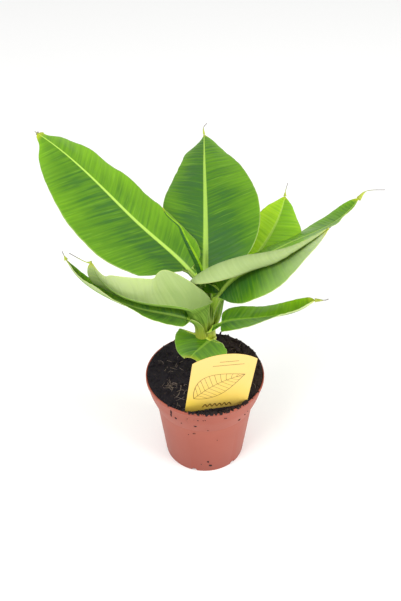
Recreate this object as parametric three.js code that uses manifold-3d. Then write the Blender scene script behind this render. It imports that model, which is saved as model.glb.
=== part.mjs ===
// A young banana plant in a round nursery pot, with its plant label.
// Millimetres, +Z up. The origin is the middle of the pot's flat underside, and -Y is the front.
import * as THREE from 'three';
import { ParametricGeometry } from 'three/addons/geometries/ParametricGeometry.js';
import { mergeVertices } from 'three/addons/utils/BufferGeometryUtils.js';
import Module from 'manifold-3d';

const wasm = await Module();
wasm.setup();

// ---- driving dimensions ----

const GAP = 0.3; // clearance between pieces that touch on the real plant

const pot = {
  height: 102,
  rimRadius: 60,
  bandHeight: 33,
  bandMiddle: 17, // how far below the rim the band starts to draw in
  bandMiddleRadius: 56.4,
  bandFootRadius: 50.6,
  bodyRadius: 49.5,
  footRadius: 41,
  footRounding: 3,
  lip: 3.4, // the rim's upright edge
  lipStep: 0.8, // how far the edge stands out past the band
  wall: 1.4,
  floor: 2,
  sides: 38,
  notches: 6,
  notchWidth: 5.6,
  notchHeight: 3.2,
  notchSides: 8,
  firstNotch: -105.5, // degrees round from +X, just left of the front
};

const soil = {
  level: 99, // at the front of the pot
  heap: 5, // how much higher it lies at the back right
  heapHeading: 55,
  bump: 1,
  edgeRoom: 0.4, // room between the soil's upper edge and the wall
  shelf: 2.5, // room over the step in the pot's wall
  sides: 32,
  rings: 5,
  collar: [24, 34], // level round the stem out to the first radius, rough from the second
};

const stem = {
  start: [3, 0, 96.5], // just under the ground
  top: [-3, 1, 214],
  groundLevel: 98.5, // the foot is cut flat here
  flareRadius: 14,
  footRadius: 10.5,
  middleRadius: 8.6,
  shoulderRadius: 7,
  topRadius: 4,
  bow: 0.8, // how far the middle leans out to the right
  sides: 14,
  steps: 10,
};

const label = {
  foot: [9.9, -42.8, 91.1], // middle of the card's lower edge, just under the soil
  yaw: 10.7,
  lean: -11.7,
  slant: 3.8,
  width: 61.5,
  height: 80,
  arch: 11,
  thickness: 0.9,
  tongueWidth: 18,
  tongueDepth: 26,
};

const blade = { thickness: 1.0, rows: 11, columns: 5, walk: 80 }; // walk: steps that trace the midrib
const thread = { radius: 0.7 };
const stalk = { sides: 10, steps: 7, offset: 4.5 }; // offset: from the stem's axis to the stalk's start

// Each leaf: the foot of its blade, the midrib's length, its heading (degrees round from +X) at the
// foot and the tip, its rise (degrees above level) at the foot, the middle and the tip, and its roll
// about the midrib. Then for the left and the right half, seen from the stem: the half width, how
// blunt the base and the tip are, the fold up from flat, and the curl from the midrib to the margin.
// A lobe is a bulge of the margin: its place along the midrib, its spread and its depth.
// The threads are the dry tip's stretches: length, heading and rise. The stalk leaves the stem at
// a height and tapers from one radius to the other.
const leaves = [
  {
    name: 'upper_left', color: 0x5a9a36,
    foot: [-8.7, 0.5, 223.6], length: 202, heading: [132, 154.5, 152.5], rise: [10, 39, 18], roll: [5, -2.5, -7.5],
    left: { width: 59.7, base: 0.45, tip: 0.71, fold: [12.5, -8.5, -24], curl: [-0.5, -4] },
    right: { width: 34, base: 0.35, tip: 0.36, fold: [41, 9.5, -21], curl: [-25, -5.5] },
    threads: [[3, 150, 20]],
    stalk: { height: 176, radii: [6, 3.2] },
  },
  {
    name: 'upper_middle', color: 0x3f8a3c,
    foot: [-0.1, 12.4, 214.8], length: 184, heading: [88, 91, 89], rise: [39, 20, -3], roll: [3.5, -3.5, -0.5],
    left: { width: 43, base: 0.53, tip: 0.89, fold: [6.5, -22.5], curl: [-0.5, -14] },
    right: { width: 53, base: 0.45, tip: 0.87, fold: [13.5, -14.5], curl: [3, -6.5] },
    threads: [[7, 100, 60], [6, 20, 50]],
    stalk: { height: 172, radii: [6, 3.2] },
  },
  {
    name: 'back_right', color: 0x86b82a,
    foot: [10.2, 8.4, 190.5], length: 156, heading: [40, 80], rise: [20, 13.5, 5.5], roll: [-0.5, 3.5],
    left: { width: 34, base: 0.48, tip: 0.81, fold: [12, 1], curl: [0, -4] },
    right: { width: 39.5, base: 0.5, tip: 0.85, fold: [11, -12], curl: [-1, -18] },
    threads: [[5, 80, 60], [9, 60, 60]],
    stalk: { height: 150, radii: [5, 2.8] },
  },
  {
    name: 'far_right', color: 0x4f9a4e,
    foot: [24, 13.2, 208.5], length: 195, heading: [27, 58], rise: [36, -6.5, 12.5], roll: [-22, -24, -19.5],
    left: { width: 27.5, base: 0.45, tip: 0.58, fold: [13, 3.5, 21.5], curl: [-11, -25, 3] },
    right: { width: 28, base: 0.45, tip: 0.56, lobe: [0.7, 0.15, 11], fold: [21.5, 18.5, 30.5], curl: [-3.5, 5.5] },
    threads: [[14, 45, 15], [19, -10, 10]],
    stalk: { height: 158, radii: [5, 2.8] },
  },
  {
    name: 'curled_right', color: 0x4c9530,
    foot: [11.9, -4.7, 200.7], length: 143.5, heading: [-29, -26, 4.5], rise: [68, 50.5, 35, 42.5, 44.5],
    roll: [-3, 8, -0.5],
    left: {
      width: 49, base: 0.26, tip: 1.25, fold: [52, 33, 19.5, 35.5, 44.5], curl: [120, 233, 276.5, 229, 188],
    },
    right: { width: 39, base: 0.82, tip: 0.67, fold: [-27, -9, 13], curl: [-25, -5, 10.5] },
    threads: [[3, 5, 40]],
    stalk: { height: 152, radii: [6, 3] },
  },
  {
    name: 'low_right', color: 0x5fa32f,
    foot: [13, -5.5, 174], length: 97, heading: [-4, 17], rise: [5, 8, 24], roll: [4, 2, 4],
    left: { width: 16, base: 0.24, tip: 0.52, fold: [12, 20], curl: [0, -2] },
    right: { width: 20, base: 0.26, tip: 0.74, fold: [1, 48], curl: [-1, 47] },
    threads: [[9, 0, 0], [4, 0, 20]],
    stalk: { height: 150, radii: [4.5, 2.5] },
  },
  {
    name: 'cupped_left', color: 0x9dbf78,
    foot: [-10.5, -12.4, 189.4], length: 119, heading: [222, 172, 183, 149.5, 151.5], rise: [58, 0, 21, 26, 77],
    roll: [55, 59, 57, 56, 68],
    left: {
      width: 38.6, base: 0.39, tip: 0.5, lobe: [0.24, 0.09, 6], fold: [5, 29, 14, 13.5, -10], curl: [-8, 2.5, -5.5],
    },
    right: { width: 30.4, base: 0.42, tip: 0.73, fold: [74, 29, 16.5, -2.5, -29], curl: [5.5, -16] },
    threads: [[6, 180, 5], [17, 180, 35]],
    stalk: { height: 158, radii: [5, 2.8] },
  },
  {
    name: 'low_left', color: 0x558f25,
    foot: [-16.4, -8.5, 179.1], length: 133, heading: [190, 170.5, 136.5], rise: [26, 14.5, 21.5, 25.5, 49],
    roll: [0.5, 7, 7.5],
    left: { width: 24.4, base: 0.45, tip: 0.78, fold: [-2.5, 27, 50], curl: [-2.5, 9.5, 18] },
    right: { width: 14.9, base: 0.3, tip: 0.71, fold: [54.5, 31.5, 16.5], curl: [0.5, -1.5] },
    threads: [[9, 150, 65]],
    stalk: { height: 146, radii: [5, 2.6] },
  },
  {
    name: 'front', color: 0x5c9b2a,
    foot: [4, -11.3, 155.3], length: 33, heading: [237, 235.5], rise: [2.5, 7, -20], roll: [5, 4.5, 6.5],
    left: { width: 24.8, base: 0.2, tip: 0.33, fold: [-0.5, -10.5], curl: [-11.5, -12.5] },
    right: { width: 34, base: 0.15, tip: 0.4, fold: [0, -20], curl: [-1.5, -28] },
    threads: [],
    stalk: { height: 118, radii: [4.5, 2.4] },
  },
];

// The newest leaf, still rolled tight round its own midrib.
const rolledLeaf = {
  path: [[-3, 0, 221], [-7, 1, 236], [-13, 2, 251], [-20, 2, 268.5], [-23.5, 2, 278], [-38, 2, 296]],
  radii: [3.4, 2.9, 2.3, 1.8, 1.5, 0.9],
  sides: 8,
  steps: 14,
};

// ---- shaping ----

const radians = THREE.MathUtils.degToRad;
const vector = (xyz) => new THREE.Vector3(...xyz);

// A value that runs through its list evenly from the foot (0) to the tip (1).
function along(values, t) {
  if (values.length === 3) {
    const [a, b, c] = values;
    return a * (1 - t) * (1 - 2 * t) + 4 * b * t * (1 - t) + c * t * (2 * t - 1);
  }
  if (values.length > 3) {
    const span = t * (values.length - 1);
    const k = Math.min(Math.floor(span), values.length - 2);
    const f = span - k;
    const at = (i) => values[THREE.MathUtils.clamp(k + i, 0, values.length - 1)];
    const [a, b, c, d] = [at(-1), at(0), at(1), at(2)];
    return 0.5 * (2 * b + (c - a) * f + (2 * a - 5 * b + 4 * c - d) * f ** 2 + (3 * b - a - 3 * c + d) * f ** 3);
  }
  return values[0] + (values[1] - values[0]) * t;
}

function heading(direction, rise) {
  const level = Math.cos(radians(rise));
  return new THREE.Vector3(
    level * Math.cos(radians(direction)), level * Math.sin(radians(direction)), Math.sin(radians(rise)));
}

// Signed volume, to tell whether the faces point out.
function signedVolume(geometry) {
  const { position } = geometry.attributes;
  const index = geometry.index.array;
  const [a, b, c] = [new THREE.Vector3(), new THREE.Vector3(), new THREE.Vector3()];
  let total = 0;
  for (let i = 0; i < index.length; i += 3) {
    a.fromBufferAttribute(position, index[i]);
    b.fromBufferAttribute(position, index[i + 1]);
    c.fromBufferAttribute(position, index[i + 2]);
    total += a.dot(b.cross(c)) / 6;
  }
  return total;
}

// One closed skin: shared corners merged, empty triangles dropped, faces pointing out.
function closed(geometry) {
  geometry.deleteAttribute('normal');
  geometry.deleteAttribute('uv');
  const merged = mergeVertices(geometry, 1e-3);
  const kept = [];
  const index = merged.index.array;
  for (let i = 0; i < index.length; i += 3) {
    const [a, b, c] = [index[i], index[i + 1], index[i + 2]];
    if (a !== b && b !== c && c !== a) kept.push(a, b, c);
  }
  merged.setIndex(kept);
  if (signedVolume(merged) < 0) merged.setIndex(kept.reverse());
  return merged;
}

// A skin drawn through rings of points. A ring may be a single point, which closes that end.
function loft(rings) {
  const around = Math.max(...rings.map((ring) => ring.length));
  const corner = (u, v, target) => {
    const ring = rings[Math.round(v * (rings.length - 1))];
    target.copy(ring[Math.round(u * around) % ring.length]);
  };
  return closed(new ParametricGeometry(corner, around, rings.length - 1));
}

function middle(ring) {
  const centre = new THREE.Vector3();
  for (const point of ring) centre.add(point);
  return centre.divideScalar(ring.length);
}

// A round limb along a curve, with a radius for each place on it and flat ends.
function limb(curve, radii, sides, steps) {
  const frames = curve.computeFrenetFrames(steps, false);
  const rings = [];
  for (let i = 0; i <= steps; i++) {
    const place = curve.getPointAt(i / steps);
    const span = (i / steps) * (radii.length - 1);
    const below = Math.min(Math.floor(span), radii.length - 2);
    const radius = THREE.MathUtils.lerp(radii[below], radii[below + 1], span - below);
    const ring = [];
    for (let k = 0; k < sides; k++) {
      const turn = (2 * Math.PI * k) / sides;
      ring.push(place.clone()
        .addScaledVector(frames.normals[i], radius * Math.cos(turn))
        .addScaledVector(frames.binormals[i], radius * Math.sin(turn)));
    }
    rings.push(ring);
  }
  return loft([[middle(rings[0])], ...rings, [middle(rings[steps])]]);
}

// ---- cutting ----

function toSolid(geometry) {
  return new wasm.Manifold(new wasm.Mesh({
    numProp: 3,
    vertProperties: new Float32Array(geometry.attributes.position.array),
    triVerts: new Uint32Array(geometry.index.array),
  }));
}

function toGeometry(solid) {
  const mesh = solid.getMesh();
  const geometry = new THREE.BufferGeometry();
  geometry.setAttribute('position', new THREE.BufferAttribute(new Float32Array(mesh.vertProperties), 3));
  geometry.setIndex(new THREE.BufferAttribute(new Uint32Array(mesh.triVerts), 1));
  return closed(geometry);
}

// What is left of a piece outside the others, without the crumbs that a cut can leave.
function cutAway(geometry, others) {
  let solid = toSolid(geometry);
  for (const other of others) solid = solid.subtract(toSolid(other));
  const bodies = solid.decompose().sort((a, b) => b.volume() - a.volume());
  return toGeometry(bodies[0]);
}

// ---- pot ----

// One side of the thin wall as radius and height, from the middle of the floor to the lip.
function potOutline(inset) {
  const floor = inset > 0 ? pot.floor : 0;
  const shoulder = pot.height - pot.bandHeight;
  return [
    [0, floor],
    [pot.footRadius - pot.footRounding - inset, floor],
    [pot.footRadius - pot.footRounding * 0.25 - inset, floor + pot.footRounding * 0.35],
    [pot.footRadius - inset, floor + pot.footRounding],
    [pot.bodyRadius - inset, shoulder - inset * 0.5],
    [pot.bandFootRadius - inset, shoulder + 1],
    [pot.bandMiddleRadius - inset, pot.height - pot.bandMiddle],
    [pot.rimRadius - pot.lipStep - inset, pot.height - pot.lip - pot.lipStep],
    [pot.rimRadius - inset, pot.height - pot.lip],
    [pot.rimRadius - inset, pot.height],
  ];
}

function makePot() {
  const profile = [...potOutline(0), ...potOutline(pot.wall).reverse()];
  const shell = new THREE.LatheGeometry(profile.map(([r, z]) => new THREE.Vector2(r, z)), pot.sides);
  shell.rotateX(Math.PI / 2);
  let solid = toSolid(closed(shell));
  for (let k = 0; k < pot.notches; k++) {
    const notch = new THREE.CylinderGeometry(
      pot.notchWidth / 2, pot.notchWidth / 2, pot.wall * 4, pot.notchSides, 1, false);
    notch.scale(1, 1, (2 * pot.notchHeight) / pot.notchWidth);
    notch.rotateZ(Math.PI / 2);
    notch.translate(pot.footRadius + pot.wall, 0, 0);
    notch.rotateZ(radians(pot.firstNotch + (360 / pot.notches) * k));
    solid = solid.subtract(toSolid(closed(notch)));
  }
  return toGeometry(solid);
}

// ---- soil ----

// The uneven surface, level where the stem stands.
function soilHeight(x, y) {
  const fromStem = Math.hypot(x - stem.start[0], y - stem.start[1]);
  const toHeap = (x * Math.cos(radians(soil.heapHeading)) + y * Math.sin(radians(soil.heapHeading)))
    / pot.rimRadius;
  const rough = Math.sin(x * 0.21 + 1) * Math.cos(y * 0.17) + 0.6 * Math.sin(x * 0.4 - y * 0.33);
  const heaped = soil.level + soil.heap * THREE.MathUtils.smoothstep(toHeap, -0.35, 0.9) + soil.bump * rough;
  const collar = stem.groundLevel - GAP;
  return THREE.MathUtils.lerp(collar, heaped, THREE.MathUtils.smoothstep(fromStem, ...soil.collar));
}

// The widest that the soil can be at a height, just clear of the wall.
function wallRadius(z) {
  const shoulder = pot.height - pot.bandHeight;
  const bandMiddle = pot.height - pot.bandMiddle;
  const lipFoot = pot.height - pot.lip - pot.lipStep;
  const { mapLinear } = THREE.MathUtils;
  let inner = mapLinear(z, pot.floor + pot.footRounding, shoulder, pot.footRadius, pot.bodyRadius);
  if (z > shoulder) {
    inner = mapLinear(z, shoulder + 1, bandMiddle, pot.bandFootRadius, pot.bandMiddleRadius);
  }
  if (z > bandMiddle) {
    inner = mapLinear(
      Math.min(z, lipFoot), bandMiddle, lipFoot, pot.bandMiddleRadius, pot.rimRadius - pot.lipStep);
  }
  return inner - pot.wall - GAP;
}

function makeSoil() {
  const ringAt = (radius, level) => {
    const ring = [];
    for (let k = 0; k < soil.sides; k++) {
      const turn = (2 * Math.PI * k) / soil.sides;
      const [x, y] = [radius * Math.cos(turn), radius * Math.sin(turn)];
      ring.push(new THREE.Vector3(x, y, level ?? soilHeight(x, y)));
    }
    return ring;
  };
  const shoulder = pot.height - pot.bandHeight;
  const bottom = pot.floor + GAP;
  const rings = [
    [new THREE.Vector3(0, 0, bottom)],
    ringAt(wallRadius(bottom) - pot.footRounding, bottom),
    ringAt(wallRadius(bottom + pot.footRounding), bottom + pot.footRounding),
    ringAt(wallRadius(shoulder - soil.shelf), shoulder - soil.shelf),
    ringAt(wallRadius(shoulder - soil.shelf), shoulder + soil.shelf),
    ringAt(wallRadius(pot.height - pot.bandMiddle) - soil.edgeRoom, pot.height - pot.bandMiddle),
  ];
  const edge = wallRadius(pot.height - pot.lip) - soil.edgeRoom;
  for (let k = soil.rings; k > 0; k--) rings.push(ringAt((edge * k) / soil.rings));
  rings.push([new THREE.Vector3(0, 0, soilHeight(0, 0))]);
  return loft(rings);
}

// ---- label ----

// A card with an arched top, on a pointed tongue pushed into the soil.
function makeLabel(grow = 0) {
  const half = label.width / 2 + grow;
  const tongue = label.tongueWidth / 2 + grow;
  const rise = label.height;
  const radius = (half * half + label.arch * label.arch) / (2 * label.arch);
  const sweep = Math.asin(half / radius);
  const card = new THREE.Shape();
  card.moveTo(-tongue, -grow);
  card.lineTo(-half, -grow);
  card.lineTo(-half, rise);
  card.absarc(0, rise + label.arch - radius, radius, Math.PI / 2 + sweep, Math.PI / 2 - sweep, true);
  card.lineTo(half, -grow);
  card.lineTo(tongue, -grow);
  card.lineTo(tongue, -label.tongueDepth + tongue);
  card.lineTo(0, -label.tongueDepth - grow);
  card.lineTo(-tongue, -label.tongueDepth + tongue);
  const depth = label.thickness + 2 * grow;
  const plate = new THREE.ExtrudeGeometry(card, { depth, bevelEnabled: false, curveSegments: 12 });
  plate.translate(0, 0, -depth / 2);
  plate.rotateZ(radians(-label.slant));
  plate.rotateX(Math.PI / 2 - radians(label.lean));
  plate.rotateZ(radians(label.yaw));
  plate.translate(...label.foot);
  return closed(plate);
}

// ---- stem, stalks and blades ----

const stemCurve = new THREE.CatmullRomCurve3([
  vector(stem.start),
  vector(stem.start).lerp(vector(stem.top), 0.5).add(new THREE.Vector3(stem.bow, 0, 0)),
  vector(stem.top),
]);

function makeStem(grow = 0) {
  const radii = [
    stem.flareRadius, stem.footRadius, stem.footRadius, stem.middleRadius, stem.middleRadius,
    stem.shoulderRadius, stem.topRadius,
  ].map((radius) => radius + grow);
  const solid = toSolid(limb(stemCurve, radii, stem.sides, stem.steps));
  return toGeometry(solid.trimByPlane([0, 0, 1], stem.groundLevel - grow));
}

// The point of the stem's axis at a height.
function stemAt(height) {
  return stemCurve.getPointAt((height - stem.start[2]) / (stem.top[2] - stem.start[2]));
}

// The stalk leaves the stem steeply and runs into its blade's midrib.
function makeStalk(leaf, grow = 0) {
  const end = vector(leaf.foot);
  const start = stemAt(leaf.stalk.height);
  const outward = end.clone().sub(start).setZ(0).setLength(stalk.offset);
  start.add(outward);
  const direction = heading(leaf.heading[0], leaf.rise[0]);
  const span = start.distanceTo(end);
  const path = new THREE.CubicBezierCurve3(
    start,
    start.clone().add(new THREE.Vector3(0, 0, span * 0.45)),
    end.clone().addScaledVector(direction, -span * 0.3),
    end.clone().addScaledVector(direction, -GAP),
  );
  return limb(path, leaf.stalk.radii.map((radius) => radius + grow), stalk.sides, stalk.steps);
}

// The midrib's frames: where it is, which way it runs, and the blade's left and upper sides there.
function midrib(leaf, places) {
  const frames = [];
  const point = vector(leaf.foot);
  const last = new THREE.Vector3();
  let done = 0;
  for (let i = 0; i <= blade.walk; i++) {
    const t = i / blade.walk;
    const forward = heading(along(leaf.heading, t), along(leaf.rise, t));
    if (i > 0) point.addScaledVector(forward.clone().add(last), leaf.length / blade.walk / 2);
    last.copy(forward);
    if (done < places.length && t >= places[done] - 1e-6) {
      const level = heading(along(leaf.heading, t) + 90, 0);
      const roll = radians(along(leaf.roll, t));
      const upright = forward.clone().cross(level);
      const left = level.clone().multiplyScalar(Math.cos(roll)).addScaledVector(upright, Math.sin(roll));
      const upper = forward.clone().cross(left);
      frames.push({ t, point: point.clone(), forward, left, upper });
      done++;
    }
  }
  return frames;
}

// How wide a half is at a place on the midrib: blunt at the base, drawn out to the tip.
function halfWidth(half, t) {
  const widest = half.base / (half.base + half.tip);
  const peak = widest ** half.base * (1 - widest) ** half.tip;
  const [at, spread, depth] = half.lobe ?? [0, 1, 0];
  const outline = (half.width * t ** half.base * (1 - t) ** half.tip) / peak;
  return outline + depth * Math.exp(-(((t - at) / spread) ** 2));
}

// One half's cross-section from the midrib to the margin, with its upper side at each step.
function halfSection(half, frame, side) {
  const section = [];
  const width = halfWidth(half, frame.t);
  const offset = new THREE.Vector2();
  for (let j = 0; j <= blade.columns; j++) {
    const angle = radians(along(half.fold, frame.t)
      + along(half.curl, frame.t) * Math.max(0, (j - 0.5) / blade.columns));
    if (j > 0) {
      offset.x += (Math.cos(angle) * width) / blade.columns;
      offset.y += (Math.sin(angle) * width) / blade.columns;
    }
    const point = frame.point.clone()
      .addScaledVector(frame.left, side * offset.x)
      .addScaledVector(frame.upper, offset.y);
    const normal = frame.upper.clone().multiplyScalar(Math.cos(angle))
      .addScaledVector(frame.left, -side * Math.sin(angle));
    section.push({ point, normal });
  }
  return section;
}

// A thin blade from its foot to its tip, ending in the dry threads.
function makeBlade(leaf, grow = 0) {
  const places = [];
  for (let i = 1; i < blade.rows; i++) {
    const closerAtEnds = 0.5 - 0.5 * Math.cos((Math.PI * i) / blade.rows);
    places.push(Math.round(blade.walk * closerAtEnds) / blade.walk);
  }
  const frames = midrib(leaf, [...new Set([0, ...places, 1])]);
  const rings = [];
  for (const frame of frames.slice(1, -1)) {
    const left = halfSection(leaf.left, frame, 1).reverse();
    const right = halfSection(leaf.right, frame, -1).slice(1);
    const section = [...left, ...right];
    const inner = section.slice(1, -1);
    const shift = (sample, side) => sample.point.clone()
      .addScaledVector(sample.normal, side * (blade.thickness / 2 + grow));
    rings.push([
      section[0].point,
      ...inner.map((sample) => shift(sample, 1)),
      section[section.length - 1].point,
      ...inner.reverse().map((sample) => shift(sample, -1)),
    ]);
  }
  const around = rings[0].length;
  const end = frames[frames.length - 1];
  let tip = end.point;
  const threadRing = (place) => {
    const ring = [];
    for (let k = 0; k < around; k++) {
      const turn = (2 * Math.PI * k) / around;
      ring.push(place.clone()
        .addScaledVector(end.left, thread.radius * Math.cos(turn))
        .addScaledVector(end.upper, thread.radius * Math.sin(turn)));
    }
    return ring;
  };
  for (const [length, direction, rise] of leaf.threads) {
    rings.push(threadRing(tip));
    tip = tip.clone().addScaledVector(heading(direction, rise), length);
  }
  return loft([[frames[0].point], ...rings, [tip]]);
}

function makeRolledLeaf() {
  const path = new THREE.CatmullRomCurve3(rolledLeaf.path.map(vector));
  return limb(path, rolledLeaf.radii, rolledLeaf.sides, rolledLeaf.steps);
}

// ---- the plant ----

const plant = new THREE.Group();

function place(name, geometry, color, roughness) {
  const material = new THREE.MeshStandardMaterial({ color, roughness, metalness: 0 });
  const mesh = new THREE.Mesh(geometry, material);
  mesh.name = name;
  plant.add(mesh);
}

place('pot', makePot(), 0xc0705c, 0.6);
place('label', makeLabel(), 0xf2dc6a, 0.5);
place('soil', cutAway(makeSoil(), [makeLabel(GAP)]), 0x2a2122, 1);
place('stem', makeStem(), 0x8fae55, 0.5);

const growing = [makeStem(GAP)];
const stalks = [];
for (const leaf of leaves) {
  stalks.push(cutAway(makeStalk(leaf), growing));
  growing.push(makeStalk(leaf, GAP));
}
leaves.forEach((leaf, i) => {
  place(`stalk_${leaf.name}`, stalks[i], 0x9cba5a, 0.5);
  place(`leaf_${leaf.name}`, cutAway(makeBlade(leaf), growing), leaf.color, 0.45);
  growing.push(makeBlade(leaf, GAP));
});
place('leaf_rolled', cutAway(makeRolledLeaf(), growing), 0x7da83f, 0.5);

export default plant;
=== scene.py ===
import math
import random

import bmesh
import bpy
from mathutils import Matrix, Vector, noise
from mathutils.geometry import interpolate_bezier


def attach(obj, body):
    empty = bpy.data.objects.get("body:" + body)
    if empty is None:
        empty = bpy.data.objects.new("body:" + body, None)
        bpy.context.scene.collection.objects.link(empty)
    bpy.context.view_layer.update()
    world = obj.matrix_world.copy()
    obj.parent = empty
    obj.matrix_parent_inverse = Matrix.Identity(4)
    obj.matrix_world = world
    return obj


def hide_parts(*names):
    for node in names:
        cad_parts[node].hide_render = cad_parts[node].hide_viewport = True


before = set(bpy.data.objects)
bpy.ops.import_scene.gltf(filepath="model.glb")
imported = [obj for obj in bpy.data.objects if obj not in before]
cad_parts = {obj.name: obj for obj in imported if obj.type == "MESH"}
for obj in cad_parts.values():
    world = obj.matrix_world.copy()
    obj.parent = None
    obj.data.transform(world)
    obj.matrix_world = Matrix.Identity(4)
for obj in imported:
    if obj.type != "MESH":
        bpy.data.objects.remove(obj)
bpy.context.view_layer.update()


# ---- studio ----
# A pale painted board under soft daylight from all round, with one broad light from the upper left
# and another from the right. The camera looks down on the plant from in front of its label.

def linear(hex_colour):
    """An sRGB hex colour as the linear colour that a socket takes."""
    parts = [int(hex_colour[i:i + 2], 16) / 255 for i in (1, 3, 5)]
    return tuple(p / 12.92 if p <= 0.04045 else ((p + 0.055) / 1.055) ** 2.4 for p in parts) + (1.0,)


def wire(node, inputs):
    """Gives a node's sockets their values, or links them to other nodes' outputs."""
    for key, value in inputs.items():
        if isinstance(value, bpy.types.NodeSocket):
            node.id_data.links.new(value, node.inputs[key])
        else:
            node.inputs[key].default_value = value


def add_node(material, kind, inputs, **settings):
    """Adds one shader node to a material, with its settings, values and links."""
    node = material.node_tree.nodes.new("ShaderNode" + kind)
    for name, value in settings.items():
        setattr(node, name, value)
    wire(node, inputs)
    return node


def new_material(name):
    """A material with its one shader, which is returned with it."""
    material = bpy.data.materials.new(name)
    material.use_nodes = True
    return material, material.node_tree.nodes["Principled BSDF"]


def new_piece(name, bm, materials, smooth=True):
    """A mesh object at the origin from a finished bmesh."""
    mesh = bpy.data.meshes.new(name)
    for face in bm.faces:
        face.smooth = smooth
    bm.to_mesh(mesh)
    bm.free()
    for material in materials:
        mesh.materials.append(material)
    piece = bpy.data.objects.new(name, mesh)
    bpy.context.scene.collection.objects.link(piece)
    return piece


MM = 0.001
camera_down = math.radians(38.2)
camera_distance = 0.854
camera_target = Vector((-0.0045, 0, 0.195))
camera_data = bpy.data.cameras.new("camera")
camera_data.sensor_fit = "VERTICAL"
camera_data.sensor_height = 36
camera_data.lens = 53.9
camera = bpy.data.objects.new("camera", camera_data)
toward_camera = Vector((0, -math.cos(camera_down), math.sin(camera_down)))
camera.location = camera_target + camera_distance * toward_camera
camera.rotation_euler = (math.pi / 2 - camera_down, 0, 0)
bpy.context.scene.collection.objects.link(camera)
bpy.context.scene.camera = camera
bpy.context.scene.view_settings.view_transform = "Standard"

floor_bm = bmesh.new()
bmesh.ops.create_grid(floor_bm, x_segments=2, y_segments=2, size=4)
board, board_shader = new_material("painted_board")
wire(board_shader, {
    "Base Color": linear("#FBFBFA"), "Roughness": 0.9, "Specular IOR Level": 0.1,
    "Emission Color": linear("#FFFFFF"), "Emission Strength": 0.07,
})
floor = new_piece("floor", floor_bm, [board])

daylight = bpy.data.worlds.new("daylight")
daylight.use_nodes = True
wire(daylight.node_tree.nodes["Background"], {"Color": linear("#FFFFFF"), "Strength": 0.72})
bpy.context.scene.world = daylight

for light_name, place, size, watts in (
    ("key_light", (-0.9, -0.9, 1.5), 1.0, 18),
    ("side_light", (1.3, -0.6, 0.9), 1.0, 16),
):
    light_data = bpy.data.lights.new(light_name, "AREA")
    light_data.size = size
    light_data.energy = watts
    light = bpy.data.objects.new(light_name, light_data)
    light.location = place
    light.rotation_euler = (camera_target - Vector(place)).to_track_quat("-Z", "Y").to_euler()
    bpy.context.scene.collection.objects.link(light)


# ---- pot ----
# A thin-walled nursery pot, injection moulded in terracotta-coloured polypropylene: a deep rim band
# that steps in to a tapering body, and drain notches in its foot. Its wall is one turned profile.

pot_height = 102
pot_rim_radius = 60
pot_lip = 3.4
pot_lip_step = 0.8
pot_band_top = pot_height - pot_lip - pot_lip_step
pot_band_top_radius = pot_rim_radius - pot_lip_step
pot_band_middle = 85
pot_band_middle_radius = 56.4
pot_band_foot = 69
pot_band_foot_radius = 50.6
pot_band_ledge = 0.6
pot_body_radius = 49.5
pot_foot_radius = 41
pot_wall = 1.3
pot_floor = 5
pot_floor_flare = 0.6
pot_recess = 3.6
pot_notch_width = 5.6
pot_notch_height = 3.2
pot_notch_depth = 8
pot_notches = 6
pot_first_notch = -105.5


def apply_modifiers(piece):
    """Makes what a piece's modifiers give its own mesh."""
    depsgraph = bpy.context.evaluated_depsgraph_get()
    mesh = bpy.data.meshes.new_from_object(piece.evaluated_get(depsgraph))
    piece.modifiers.clear()
    piece.data = mesh
    return piece


# The profile from the middle of the underside, up the outside and down the inside: radius, height, fillet.
pot_outline = [
    (0, pot_recess, 0),
    (pot_foot_radius - pot_wall, pot_recess, 1), (pot_foot_radius - pot_wall, 0, 0.5),
    (pot_foot_radius, 0, 0.6), (pot_body_radius, pot_band_foot, 1),
    (pot_band_foot_radius, pot_band_foot + pot_band_ledge, 0.5),
    (pot_band_middle_radius, pot_band_middle, 3), (pot_band_top_radius, pot_band_top, 0.5),
    (pot_rim_radius, pot_height - pot_lip, 0.5), (pot_rim_radius, pot_height, 0.5),
    (pot_rim_radius - pot_wall, pot_height, 0.5), (pot_band_middle_radius - pot_wall, pot_band_middle, 3),
    (pot_band_foot_radius - pot_wall, pot_band_foot, 2),
    (pot_foot_radius - pot_wall + pot_floor_flare, pot_floor, 2), (0, pot_floor, 0),
]
pot_bm = bmesh.new()
pot_corners = [pot_bm.verts.new((r * MM, 0, z * MM)) for r, z, fillet in pot_outline]
for below, above in zip(pot_corners, pot_corners[1:]):
    pot_bm.edges.new((below, above))
for corner, (r, z, fillet) in zip(pot_corners, pot_outline):
    if fillet:
        bmesh.ops.bevel(
            pot_bm, geom=[corner], offset=fillet * MM, offset_type="OFFSET", segments=4, profile=0.5,
            affect="VERTICES", material=-1)
bmesh.ops.spin(
    pot_bm, geom=pot_bm.verts[:] + pot_bm.edges[:], cent=(0, 0, 0), axis=(0, 0, 1), angle=2 * math.pi,
    steps=120, use_merge=True)
bmesh.ops.remove_doubles(pot_bm, verts=pot_bm.verts, dist=1e-6)
bmesh.ops.recalc_face_normals(pot_bm, faces=pot_bm.faces)

polypropylene, polypropylene_shader = new_material("moulded_polypropylene_terracotta")
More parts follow.
